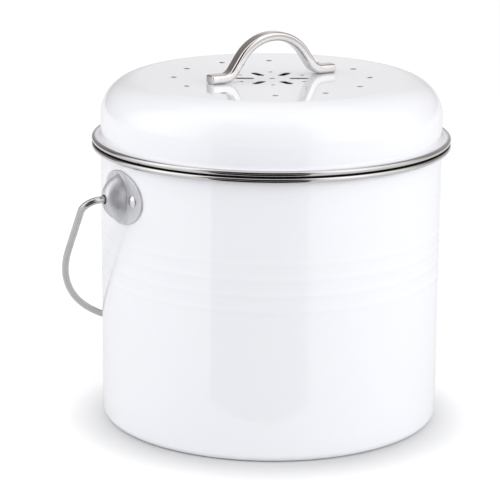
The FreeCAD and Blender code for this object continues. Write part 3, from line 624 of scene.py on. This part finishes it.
class COMPOST_BIN_OT_bucket(bpy.types.Operator):
    """Build the bucket's shell and its trim ring"""

    bl_idname = "compost_bin.bucket"
    bl_label = "Bucket"

    def execute(self, context):
        sizes = context.scene.compost_bin_bucket
        shell = lathe("bucket_body", self.outline(sizes), finish_of("white_enamel"))
        install(shell, "bucket", "white_enamel", "bucket_shell")
        ring = trim_ring("bucket_trim", sizes, bucket_ring_low, bucket_ring_high)
        install(ring, "bucket", "trim_steel", "bucket_rim_ring")
        return {"FINISHED"}

    def outline(self, sizes):
        """Half section of the shell, from the middle of its under side to the middle of its floor."""
        outer, gauge, corner = sizes.wall_radius, sizes.gauge, sizes.corner_radius
        corner_centre = (outer - corner, corner)
        flare_centre = (outer + sizes.flare_radius, bucket_high.z - gauge - sizes.flare_radius)
        roll_centre = (rim_radius, bucket_high.z - sizes.roll_radius)
        step = self.base_step(sizes)
        points = [(0, sizes.base_lift)] + step
        points += arc(corner_centre, corner, -90, 0)
        points += self.beads(sizes, 0)
        points += arc(flare_centre, sizes.flare_radius, 180, 90)
        points += arc(roll_centre, sizes.roll_radius, 180 - roll_dip(sizes), 450, steps=24)
        points += arc(flare_centre, sizes.flare_radius + gauge, 90, 180)
        points += self.beads(sizes, gauge)[::-1]
        points += arc(corner_centre, corner - gauge, 0, -90)
        points += [(radius, height + gauge) for radius, height in step[::-1]]
        return points + [(0, sizes.base_lift + gauge)]

    def base_step(self, sizes):
        """Wave from the raised base down to the standing ring."""
        inner = sizes.wall_radius - sizes.corner_radius - sizes.standing_ring - sizes.base_step
        run, lift = sizes.base_step, sizes.base_lift
        steps = shares(ARC_STEPS)
        return [(inner + run * share, lift * (1 + math.cos(math.pi * share)) / 2) for share in steps]

    def beads(self, sizes, inset):
        """Outline of the beads from the lowest up, that far inside the outer face."""
        top = ear_low.z - sizes.ear_to_bead - sizes.bead_half_width
        points = []
        for index in reversed(range(sizes.bead_count)):
            for step in range(-ARC_STEPS, ARC_STEPS + 1):
                share = step / ARC_STEPS
                rise = sizes.bead_height * (1 + math.cos(math.pi * share)) / 2
                height = top - sizes.bead_pitch * index + sizes.bead_half_width * share
                points.append((sizes.wall_radius - inset + rise, height))
        return points


class COMPOST_BIN_OT_ears(bpy.types.Operator):
    """Build both ears with their rivets"""

    bl_idname = "compost_bin.ears"
    bl_label = "Ears"

    def execute(self, context):
        sizes = context.scene.compost_bin_ear
        lean = math.asin(sizes.rivet_spread / sizes.plate_radius)
        upright_to_level = Matrix.Rotation(math.pi / 2, 4, "Y")
        raised = Matrix.Translation(UP * pivot_height)
        for side, facing, forward in (("right", 0, -1), ("left", math.pi, 1)):
            rings = self.ear_rings(sizes)
            ear = solid("%s_ear_pressing" % side, rings, finish_of("ear_zinc"), closed=True)
            ear.data.transform(Matrix.Rotation(facing, 4, "Z"))
            install(ear, "bucket", "ear_zinc", "%s_ear" % side)
            for end, turn in (("front", forward * lean), ("rear", -forward * lean)):
                name = "%s_%s_rivet" % (side, end)
                rivet = lathe(name, self.rivet(sizes), finish_of("rivet_steel"), steps=SMALL_ROUND_STEPS)
                rivet.data.transform(Matrix.Rotation(facing + turn, 4, "Z") @ raised @ upright_to_level)
                install(rivet, "bucket", "rivet_steel", "%s_ear_rivet_%s" % (side, end))
        return {"FINISHED"}

    def ear_rings(self, sizes):
        """Rings of an ear at +X: oval plate bent to the bucket's wall, with a hollow oval dome."""
        rings = []
        for half_width, half_height, rise, settled in self.rows(sizes):
            ring = []
            for turn in turns(ROUND_STEPS):
                y = half_width * math.cos(turn)
                bend = math.sqrt(sizes.plate_radius**2 - y**2) - sizes.plate_radius
                x = sizes.plate_radius + rise + bend * settled
                ring.append((x, y, pivot_height + half_height * math.sin(turn)))
            rings.append(ring)
        return rings

    def rows(self, sizes):
        """Ovals of an ear from the bore out over dome and plate, and back inside.

        Each has its half width, half height, rise on the plate, and its share of the plate's bend.
        """
        apex, gauge, edge = ear_high.x - sizes.plate_radius, sizes.gauge, sizes.edge_radius
        foot, nose = sizes.foot_radius, sizes.nose_radius
        depth = (sizes.dome_half_height**2 - sizes.top_half_height**2 - apex**2) / (2 * apex)
        ball = math.hypot(sizes.dome_half_height, depth)
        nose_run = math.sqrt((ball - nose) ** 2 - (apex + depth - nose) ** 2)
        nose_turn = math.degrees(math.atan2(apex + depth - nose, nose_run))
        foot_run = math.sqrt((ball + foot) ** 2 - (foot + depth) ** 2)
        foot_turn = math.degrees(math.atan2(foot + depth, foot_run))
        outside = arc((nose_run, apex - nose), nose, 90, nose_turn, steps=6)
        outside += arc((0, -depth), ball, nose_turn, foot_turn, steps=18)
        outside += arc((foot_run, foot), foot, 180 + foot_turn, 270, steps=8)
        lowest = arcsine((depth - gauge) / (ball - gauge))
        highest = arcsine((apex + depth - gauge) / (ball - gauge))
        inside = arc((0, -depth), ball - gauge, lowest, highest, steps=8)
        round_off = edge / 2
        bore = [(sizes.bore, apex - gauge)]
        bore += arc((sizes.bore + round_off, apex - round_off), round_off, 180, 90, steps=4)

        rows = [(radius, radius, rise, 0) for radius, rise in supported(bore)]
        rows += [self.oval(sizes, *point, 0) for point in supported(outside)]
        wide, high = rows[-1][:2]
        plate_wide, plate_high = ear_high.y - edge, (ear_high.z - ear_low.z) / 2 - edge
        plate_shares = (0.06, 0.25, 0.5, 0.75, 0.95)
        for share in plate_shares:
            rows.append((wide + (plate_wide - wide) * share, high + (plate_high - high) * share, 0, 1))
        plate_edge = arc((0, -edge), edge, 90, 0, steps=4)
        rows += [(plate_wide + run, plate_high + run, rise, 1) for run, rise in plate_edge]
        rows += [(plate_wide + edge, plate_high + edge, -gauge, 1), (plate_wide, plate_high, -gauge, 1)]
        return rows + [self.oval(sizes, *point, gauge) for point in inside]

    def oval(self, sizes, half_height, rise, inset):
        """Oval of the dome at a half height, that far inside its outer face."""
        run = sizes.dome_half_height - sizes.top_half_height
        settled = (half_height + inset - sizes.top_half_height) / run
        half_width = sizes.top_half_width + (sizes.dome_half_width - sizes.top_half_width) * settled
        return (half_width - inset, half_height, rise, min(max(settled, 0), 1))

    def rivet(self, sizes):
        """Outline of a rivet along the line out from the bucket's axis: tail, shank and low domed head."""
        bucket = bpy.context.scene.compost_bin_bucket
        bore = bucket.wall_radius - bucket.gauge
        tail = math.sqrt(bore**2 - sizes.rivet_tail**2)
        seat = sizes.plate_radius
        land = sizes.rivet_rise / 4
        ball, spread = cap(sizes.rivet_head, sizes.rivet_rise - land)
        round_off = sizes.rivet_tail_rise / 2
        points = [(0, tail - sizes.rivet_tail_rise)]
        points += arc((sizes.rivet_tail - round_off, tail - round_off), round_off, -90, 0, steps=6)
        points += [(sizes.rivet_tail, tail), (sizes.rivet_shank, tail)]
        points += [(sizes.rivet_shank, seat), (sizes.rivet_head, seat)]
        top = seat + sizes.rivet_rise
        return points + arc((0, top - ball), ball, 90 - spread, 90)[:-1] + [(0, top)]


class COMPOST_BIN_OT_bail(bpy.types.Operator):
    """Build the bail"""

    bl_idname = "compost_bin.bail"
    bl_label = "Bail"

    def execute(self, context):
        sizes = context.scene.compost_bin_bail
        hang = math.radians((bail_swing["range_deg"][1] - 180) / 2)
        path = supported(self.path(sizes, hang))
        around = [(math.cos(turn), math.sin(turn)) for turn in turns(WIRE_STEPS)]
        rings = []
        for index, (place, heading) in enumerate(zip(path, headings(path))):
            start = Vector((place.x, place.y, 0))
            across = Vector((-heading.y, heading.x, 0))
            for radius in self.radii(sizes, path, index):
                rings.append([start + radius * (across * run + UP * rise) for run, rise in around])
        bail = solid("bail_bow", rings, finish_of("bail_steel"), closed=False)
        bail.data.transform(Matrix.Translation(UP * pivot_height) @ Matrix.Rotation(-hang, 4, "X"))
        install(bail, "bail", "bail_steel", "bail_wire")
        return {"FINISHED"}

    def path(self, sizes, hang):
        """Middle line of the wire, laid flat, from its left end to its right end."""
        bend = sizes.bend_radius
        sine, cosine, tilt = math.sin(sizes.lean), math.cos(sizes.lean), math.degrees(sizes.lean)
        stub = bail_high.x - sizes.wire_radius - bend
        reach = (pivot_height - bail_low.z - sizes.wire_radius) / math.sin(hang)
        bow = (stub * cosine + bend * (1 + sine) - reach * sine) / (1 - sine)
        points = [(-sizes.end, 0), (-sizes.end - sizes.head_length, 0)]
        points += arc((-stub, bend), bend, 270, 180 - tilt, steps=14)
        points += arc((0, reach - bow), bow, 180 - tilt, tilt, steps=80)
        points += arc((stub, bend), bend, tilt, -90, steps=14)
        return points + [(sizes.end + sizes.head_length, 0), (sizes.end, 0)]

    def radii(self, sizes, path, index):
        """Radii of the wire at a point of its path: the heads at its ends step down to the wire."""
        from_end = min((path[index] - path[0]).length, (path[index] - path[-1]).length)
        if from_end < sizes.head_length - SAME_POINT:
            return [sizes.head_radius]
        if from_end > sizes.head_length + SAME_POINT:
            return [sizes.wire_radius]
        step_down = [sizes.head_radius, sizes.wire_radius]
        return step_down if index < len(path) / 2 else step_down[::-1]


class COMPOST_BIN_OT_lid(bpy.types.Operator):
    """Build the lid's shell with its vents, its trim ring and gasket, and finish its collar"""

    bl_idname = "compost_bin.lid"
    bl_label = "Lid"

    def execute(self, context):
        sizes = context.scene.compost_bin_lid
        bucket = context.scene.compost_bin_bucket
        shell = lathe("lid_dome", self.outline(sizes, bucket), finish_of("white_enamel"))
        carve(shell, self.vents(sizes))
        install(shell, "lid", "white_enamel", "lid_shell")
        ring = trim_ring("lid_trim", bucket, lid_ring_low, lid_ring_high)
        install(ring, "lid", "trim_steel", "lid_rim_ring")
        dress(finish_of("white_enamel"), "lid_collar")
        # The gasket's lip paints the shade of the crease between the rims
        gasket = lathe("lid_seal", self.gasket(sizes), finish_of("gasket_rubber"), closed=True)
        install(gasket, "lid", "gasket_rubber", "lid_gasket")
        return {"FINISHED"}

    def outline(self, sizes, bucket):
        """Half section of the shell, from the middle of its top round its rim to the middle below."""
        outer, gauge, shoulder = bucket.wall_radius, bucket.gauge, sizes.shoulder_radius
        top = lid_high.z
        plateau = outer - shoulder
        ball, spread = cap(plateau, sizes.dish)
        dish_centre = (0, top - sizes.dish + ball)
        shoulder_centre = (plateau, top - shoulder)
        flange = (lid_ring_low.z + lid_ring_high.z) / 2 + bucket.roll_radius
        flare_centre = (outer + bucket.flare_radius, flange + bucket.flare_radius)
        roll_centre = (rim_radius, flange - bucket.roll_radius)
        points = arc(dish_centre, ball, -90, -90 + spread, steps=24)
        points += arc(shoulder_centre, shoulder, 90, 0, steps=28)
        points += arc(flare_centre, bucket.flare_radius, 180, 270)
        points += arc(roll_centre, bucket.roll_radius, 90, -180 - roll_dip(bucket), steps=24)
        points += arc(flare_centre, bucket.flare_radius + gauge, 270, 180)
        points += arc(shoulder_centre, shoulder - gauge, 0, 90, steps=28)
        return points + arc(dish_centre, ball + sizes.top_gauge, -90 + spread, -90, steps=24)

    def gasket(self, sizes):
        """Section of the gasket: a round cord with a lip between the rims, which thickens outside them; the
        lip's black paints the shade of the crease between the rims.
        """
        low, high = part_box("lid_gasket")
        cord = (high.z - low.z) / 2
        centre = (high.x - cord, (low.z + high.z) / 2)
        apart = (lid_ring_low.z - bucket_ring_low.z) / 2
        middle = (lid_ring_high.z + bucket_ring_low.z) / 2
        edge = []
        for share in shares(LIP_STEPS):
            run = (sizes.lip_root + sizes.lip_reach) * share - sizes.lip_root
            edge.append((rim_radius + run, apart - math.sqrt(trim_radius**2 - run**2) - sizes.lip_gap))
        root = arcsine(edge[0][1] / cord)
        points = arc(centre, cord, root, 360 - root, steps=28)
        points += [(radius, middle - half) for radius, half in edge]
        return points + [(radius, middle + half) for radius, half in reversed(edge)]

    def vents(self, sizes):
        """Cutters of the vents: an outer ring, petals with holes between them, and one in the middle."""
        low, high = lid_high.z - VENT_CUT_BELOW, lid_high.z + VENT_CUT_ABOVE
        cutters = []

        def cut(name, corners, turn):
            """Add the cutter of an opening, turned round the lid's middle."""
            cutter = prism(name, corners, low, high, finish_of("white_enamel"))
            cutter.data.transform(Matrix.Rotation(turn, 4, "Z"))
            cutters.append(cutter)

        def hole(reach, radius):
            """Outline of a round opening at that distance from the lid's middle."""
            return arc((reach, 0), radius, 0, 360, HOLE_STEPS)[:-1]

        for index, turn in enumerate(turns(sizes.vent_count)):
            cut("vent_%d" % index, hole(sizes.vent_ring, sizes.vent_radius), turn)
        half = sizes.petal_half_width
        petal = arc((sizes.petal_inner + half, 0), half, 90, 270, steps=12)
        petal += arc((sizes.petal_outer - half, 0), half, -90, 90, steps=12)
        for index, turn in enumerate(turns(sizes.petal_count)):
            cut("petal_%d" % index, petal, turn + math.pi / sizes.petal_count)
            cut("small_vent_%d" % index, hole(sizes.small_ring, sizes.small_radius), turn)
        cut("centre_vent", hole(0, sizes.centre_radius), 0)
        return cutters


class COMPOST_BIN_OT_lid_handle(bpy.types.Operator):
    """Build the lid's handle with its screws, and finish its washers"""

    bl_idname = "compost_bin.lid_handle"
    bl_label = "Lid handle"

    def execute(self, context):
        sizes = context.scene.compost_bin_handle
        handle = solid("lid_handle_bar", self.rings(sizes), finish_of("handle_chrome"), closed=False)
        install(handle, "lid", "handle_chrome", "lid_handle")
        steel = finish_of("fastener_steel")
        for side in ("left", "right"):
            node = "handle_screw_%s" % side
            low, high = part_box(node)
            outline = self.screw(sizes, low, high)
            screw = lathe("pan_screw_%s" % side, outline, steel, steps=SMALL_ROUND_STEPS)
            carve(screw, self.recess(sizes, low, high))
            screw.data.transform(Matrix.Translation(((low.x + high.x) / 2, 0, 0)))
            install(screw, "lid", "fastener_steel", node)
        dress(steel, "handle_washer_left", "handle_washer_right")
        return {"FINISHED"}

    def path(self, sizes):
        """Middle line of the bar over X and Z, from its left end to its right end."""
        seat = handle_low.z + sizes.thickness / 2
        crown = handle_high.z - sizes.thickness / 2
        lean = math.degrees(sizes.lean)
        end = handle_high.x
        bend_x = end - sizes.foot_length
        points = [(-end, seat)]
        points += arc((-bend_x, seat + sizes.bend_radius), sizes.bend_radius, -90, -lean, steps=14)
        points += arc((0, crown - sizes.arch_radius), sizes.arch_radius, 180 - lean, lean, steps=40)
        points += arc((bend_x, seat + sizes.bend_radius), sizes.bend_radius, 180 + lean, 270, steps=14)
        return points + [(end, seat)]

    def rings(self, sizes):
        """Sections of the bar along its path, drawn in at both ends."""
        path = supported(self.path(sizes))
        radius = sizes.end_radius
        rounding = arc((radius, 0), radius, 180, 90, steps=5)
        level = Vector((1, 0))
        stations = [(path[0] + level * run, level, radius - rise) for run, rise in rounding]
        stations += [(place, heading, 0) for place, heading in zip(path[2:-2], headings(path)[2:-2])]
        stations += [(path[-1] - level * run, level, radius - rise) for run, rise in rounding[::-1]]
        rings = []
        for place, heading, inset in stations:
            start = Vector((place.x, 0, place.y))
            up = Vector((-heading.y, 0, heading.x))
            rings.append([start + Vector((0, y, 0)) + up * z for y, z in self.section(sizes, inset)])
        return rings

    def section(self, sizes, inset):
        """Rounded outline of the bar across its path, drawn in on all sides."""
        half_width = handle_high.y - inset
        half_thickness = sizes.thickness / 2 - inset
        edge = sizes.edge_radius - inset
        side, top = half_width - edge, half_thickness - edge
        points = []
        for x, y, start in ((side, top, 0), (-side, top, 90), (-side, -top, 180), (side, -top, 270)):
            points += arc((x, y), edge, start, start + 90, steps=8)
        return points

    def screw(self, sizes, low, high):
        """Outline of a pan-head screw that points up."""
        head_radius = (high.x - low.x) / 2
        ball, spread = cap(head_radius, sizes.screw_dome)
        seat = low.z + sizes.screw_head
        radius, chamfer = sizes.screw_radius, sizes.screw_chamfer
        points = [(0, low.z)] + arc((0, low.z + ball), ball, -90, -90 + spread, steps=8)[1:]
        points += [(head_radius, seat), (radius, seat), (radius, high.z - chamfer)]
        return points + [(radius - chamfer, high.z), (0, high.z)]

    def recess(self, sizes, low, high):
        """Cutters of the cross recess in a screw's head."""
        long, short = (high.x - low.x) * sizes.recess_span, sizes.recess_half_width
        start, end = low.z - RECESS_CUT_OUTSIDE, low.z + sizes.recess_depth
        cutters = []
        for name, x, y in (("recess_along", long, short), ("recess_across", short, long)):
            corners = [(x, y), (-x, y), (-x, -y), (x, -y)]
            cutters.append(prism(name, corners, start, end, finish_of("fastener_steel")))
        return cutters


class COMPOST_BIN_OT_filter(bpy.types.Operator):
    """Build the charcoal filter, and finish its frame and cover"""

    bl_idname = "compost_bin.filter"
    bl_label = "Filter"

    def execute(self, context):
        sizes = context.scene.compost_bin_filter
        dress(finish_of("filter_plastic"), "filter_frame", "filter_cover")
        pad = lathe("filter_felt", self.outline(sizes), finish_of("charcoal_felt"), steps=FELT_ROUND_STEPS)
        for vertex in pad.data.vertices:
            self.sink(sizes, vertex)
        install(pad, "filter", "charcoal_felt", "charcoal_filter")
        return {"FINISHED"}

    def outline(self, sizes):
        """Half section of the felt: flat faces in rings, and soft edges."""
        soft = sizes.edge_radius
        flat = filter_high.x - soft
        under = [(flat * share, filter_low.z) for share in shares(FELT_RINGS)]
        upper = [(flat * share, filter_high.z) for share in reversed(shares(FELT_RINGS))]
        points = under + arc((flat, filter_low.z + soft), soft, -90, 0, steps=5)
        return points + arc((flat, filter_high.z - soft), soft, 0, 90, steps=5) + upper

    def sink(self, sizes, vertex):
        """Press a point of the felt in a little, more in some places than in others."""
        depth = sizes.dent * (1 + noise.noise(vertex.co * sizes.dent_waves))
        middle = (filter_low.z + filter_high.z) / 2
        vertex.co.z += depth if vertex.co.z < middle else -depth


class COMPOST_BIN_OT_stage(bpy.types.Operator):
    """Set up floor, light and camera"""

    bl_idname = "compost_bin.stage"
    bl_label = "Stage"

    def execute(self, context):
        settings = context.scene.compost_bin_stage
        context.scene.view_settings.view_transform = "Standard"
        self.sky(context.scene, settings)
        self.floor(settings)
        self.lamps(settings)
        # Painted dark reflections: a dark sheet in front that only reflections see
        self.dark_cloth(settings)
        self.camera(context.scene, settings)
        return {"FINISHED"}

    def sky(self, scene, settings):
        """Even light, white for the eye, and the studio's room for reflections."""
        world = bpy.data.worlds.new("studio")
        scene.world = world
        world.use_nodes = True
        graph = Graph(world.node_tree)
        light = graph.nodes["Background"]
        graph.feed(light.inputs["Color"], WHITE)
        graph.feed(light.inputs["Strength"], settings.sky)
        white = graph.add("Background", {"Color": WHITE})
        walls = self.room(graph, settings)
        room = graph.add("Background", {"Color": walls, "Strength": settings.room_light})
        rays = graph.add("LightPath")
        shown = light.outputs["Background"]
        for kind, background in (("Is Glossy Ray", room), ("Is Camera Ray", white)):
            mixed = graph.add("MixShader", {"Fac": rays[kind], 1: shown, 2: background["Background"]})
            shown = mixed["Shader"]
        graph.feed(graph.nodes["World Output"].inputs["Surface"], shown)

    def room(self, graph, settings):
        """Colour of the room by direction: dark behind the camera, white beside it, dim behind the bin.

        Over all of it is a white ceiling.
        """
        direction = graph.add("TexCoord")["Generated"]
        turn = (0, 0, math.pi / 2 + settings.bearing)
        turned = graph.add("Mapping", {"Vector": direction, "Rotation": turn}, vector_type="VECTOR")
        around = graph.add("TexGradient", {"Vector": turned["Vector"]}, gradient_type="RADIAL")
        shades = [(bearing / 360 + 0.5, self.wall(settings, shade)) for bearing, shade in WALL_SHADES]
        walls = graph.ramp(around["Fac"], shades)
        height = graph.add("SeparateXYZ", {"Vector": direction})
        fade = [(CEILING_START, (0, 0, 0)), (CEILING_FULL, self.wall(settings, 1))]
        inputs = {"Factor": 1, MIX_FIRST: walls, MIX_SECOND: graph.ramp(height["Z"], fade)}
        return graph.add("Mix", inputs, data_type="RGBA", blend_type="LIGHTEN")[MIX_RESULT]

    def wall(self, settings, shade):
        """Colour of a wall of that brightness: the darker, the warmer."""
        dimness = 1 - min(shade, 1)
        return [shade / settings.room_light * (1 - (1 - channel) * dimness) for channel in settings.room]

    def floor(self, settings):
        """Pale floor that runs out to white, with a painted contact shadow: near the bin, most of all on
        the camera's side, its glow fades to none.
        """
        finish = Finish("floor_paper")
        finish.vary_colour(finish.noise(waves=3, detail=2), shaded(settings.floor, 0.995), settings.floor)
        finish.vary_roughness(finish.noise(waves=20), low=0.9, high=0.96)
        # Painted contact shadow: no glow near a point shifted from the bin's axis towards the camera, full
        # glow further out
        shadow = self.around(math.degrees(settings.bearing), SHADOW_SHIFT, 0)
        distance = finish.add("VectorMath", {0: finish.place, 1: shadow}, operation="DISTANCE")
        whiter = finish.span(distance["Value"], SHADOW_RANGE, 0, settings.floor_glow)
        rays = finish.add("LightPath")
        shares_seen = {0: rays["Is Glossy Ray"], 1: settings.glow_reflected, 2: rays["Is Camera Ray"]}
        seen = finish.add("Math", shares_seen, operation="MULTIPLY_ADD")
        glow = finish.add("Math", {0: seen["Value"], 1: whiter}, operation="MULTIPLY")
        finish.set(Specular_IOR_Level=0.0, Emission_Color=WHITE, Emission_Strength=glow["Value"])
        sides = ((-1, -1), (1, -1), (1, 1), (-1, 1))
        corners = [(FLOOR_REACH * x, FLOOR_REACH * y, 0) for x, y in sides]
        self.panel("floor", corners, finish.material)

    def panel(self, name, corners, material):
        """Flat sheet of the stage."""
        mesh = bpy.data.meshes.new(name)
        mesh.from_pydata(corners, [], [tuple(range(len(corners)))])
        sheet = linked(name, mesh, material)
        return sheet

    def around(self, bearing, distance, height):
        """Place at a bearing left of the front, a level distance and a height."""
        turn = math.radians(bearing)
        return Vector((-distance * math.sin(turn), -distance * math.cos(turn), height))

    def lamps(self, settings):
        """Large soft lamps beside and before the bin; reflections show the room in their place."""
        ahead = math.degrees(settings.bearing)
        for name, (bearing, height) in LAMP_PLACES.items():
            data = bpy.data.lights.new(name, "AREA")
            data.shape = "RECTANGLE"
            data.size, data.size_y = LAMP_WIDTH, LAMP_HEIGHT
            data.energy = getattr(settings, name)
            lamp = bpy.data.objects.new(name, data)
            lamp.visible_glossy = False
            bpy.context.scene.collection.objects.link(lamp)
            place = self.around(ahead + bearing, LAMP_DISTANCE, height)
            aim = (LAMP_AIM - place).to_track_quat("-Z", "Y")
            lamp.matrix_world = Matrix.Translation(place) @ aim.to_matrix().to_4x4()

    def dark_cloth(self, settings):
        """Dark sheet on the floor in front, which only reflections see: it paints dark reflections, and
        casts no shadow on the lit floor.
        """
        finish = Finish("dark_cloth")
        finish.vary_colour(finish.noise(waves=4, detail=2), (0.01, 0.01, 0.01), (0.02, 0.018, 0.017))
        finish.vary_roughness(finish.noise(waves=10), low=0.9, high=1.0)
        finish.set(Specular_IOR_Level=0.0)
        ahead = math.degrees(settings.bearing)
        outline = DARK_SHEET_NEAR + DARK_SHEET_FAR
        corners = [self.around(ahead + turn, distance, DARK_SHEET_HEIGHT) for turn, distance in outline]
        dark_sheet = self.panel("dark_cloth", corners, finish.material)
        dark_sheet.visible_camera = False
        dark_sheet.visible_diffuse = False
        dark_sheet.visible_shadow = False

    def camera(self, scene, settings):
        """Camera at the photo's angle."""
        data = bpy.data.cameras.new("photo_camera")
        data.sensor_width = SENSOR_WIDTH
        data.lens = settings.lens
        camera = bpy.data.objects.new("photo_camera", data)
        scene.collection.objects.link(camera)
        place = self.around(math.degrees(settings.bearing), settings.distance, settings.height)
        heading = Matrix.Rotation(-settings.bearing - settings.yaw, 4, "Z")
        pitch = Matrix.Rotation(math.pi / 2 - settings.pitch, 4, "X")
        roll = Matrix.Rotation(settings.roll, 4, "Z")
        camera.matrix_world = Matrix.Translation(place) @ heading @ pitch @ roll
        scene.camera = camera


OPERATORS = (
    COMPOST_BIN_OT_bucket,
    COMPOST_BIN_OT_ears,
    COMPOST_BIN_OT_bail,
    COMPOST_BIN_OT_lid,
    COMPOST_BIN_OT_lid_handle,
    COMPOST_BIN_OT_filter,
    COMPOST_BIN_OT_stage,
)


class COMPOST_BIN_PT_panel(bpy.types.Panel):
    """Settings and steps of the compost bin"""

    bl_idname = "COMPOST_BIN_PT_panel"
    bl_label = "Compost bin"
    bl_space_type = "VIEW_3D"
    bl_region_type = "UI"
    bl_category = "Compost bin"

    def draw(self, context):
        for operator in OPERATORS:
            self.layout.operator(operator.bl_idname)
        for name, group in SETTINGS.items():
            box = self.layout.box()
            box.label(text=group.__doc__)
            settings = getattr(context.scene, name)
            for setting in group.__annotations__:
                box.prop(settings, setting)


def register():
    """Make the settings, steps and panel known to Blender."""
    for group in SETTINGS.values():
        bpy.utils.register_class(group)
    for name, group in SETTINGS.items():
        setattr(bpy.types.Scene, name, PointerProperty(type=group))
    for operator in OPERATORS:
        bpy.utils.register_class(operator)
    bpy.utils.register_class(COMPOST_BIN_PT_panel)


def unregister():
    """Take them out again, last in first out."""
    bpy.utils.unregister_class(COMPOST_BIN_PT_panel)
    for operator in reversed(OPERATORS):
        bpy.utils.unregister_class(operator)
    for name in SETTINGS:
        delattr(bpy.types.Scene, name)
    for group in reversed(SETTINGS.values()):
        bpy.utils.unregister_class(group)


def main():
    """Build the bin in order."""
    register()
    bpy.ops.compost_bin.bucket()
    bpy.ops.compost_bin.ears()
    bpy.ops.compost_bin.bail()
    bpy.ops.compost_bin.lid()
    bpy.ops.compost_bin.lid_handle()
    bpy.ops.compost_bin.filter()
    bpy.ops.compost_bin.stage()


if __name__ == "__main__":
    main()
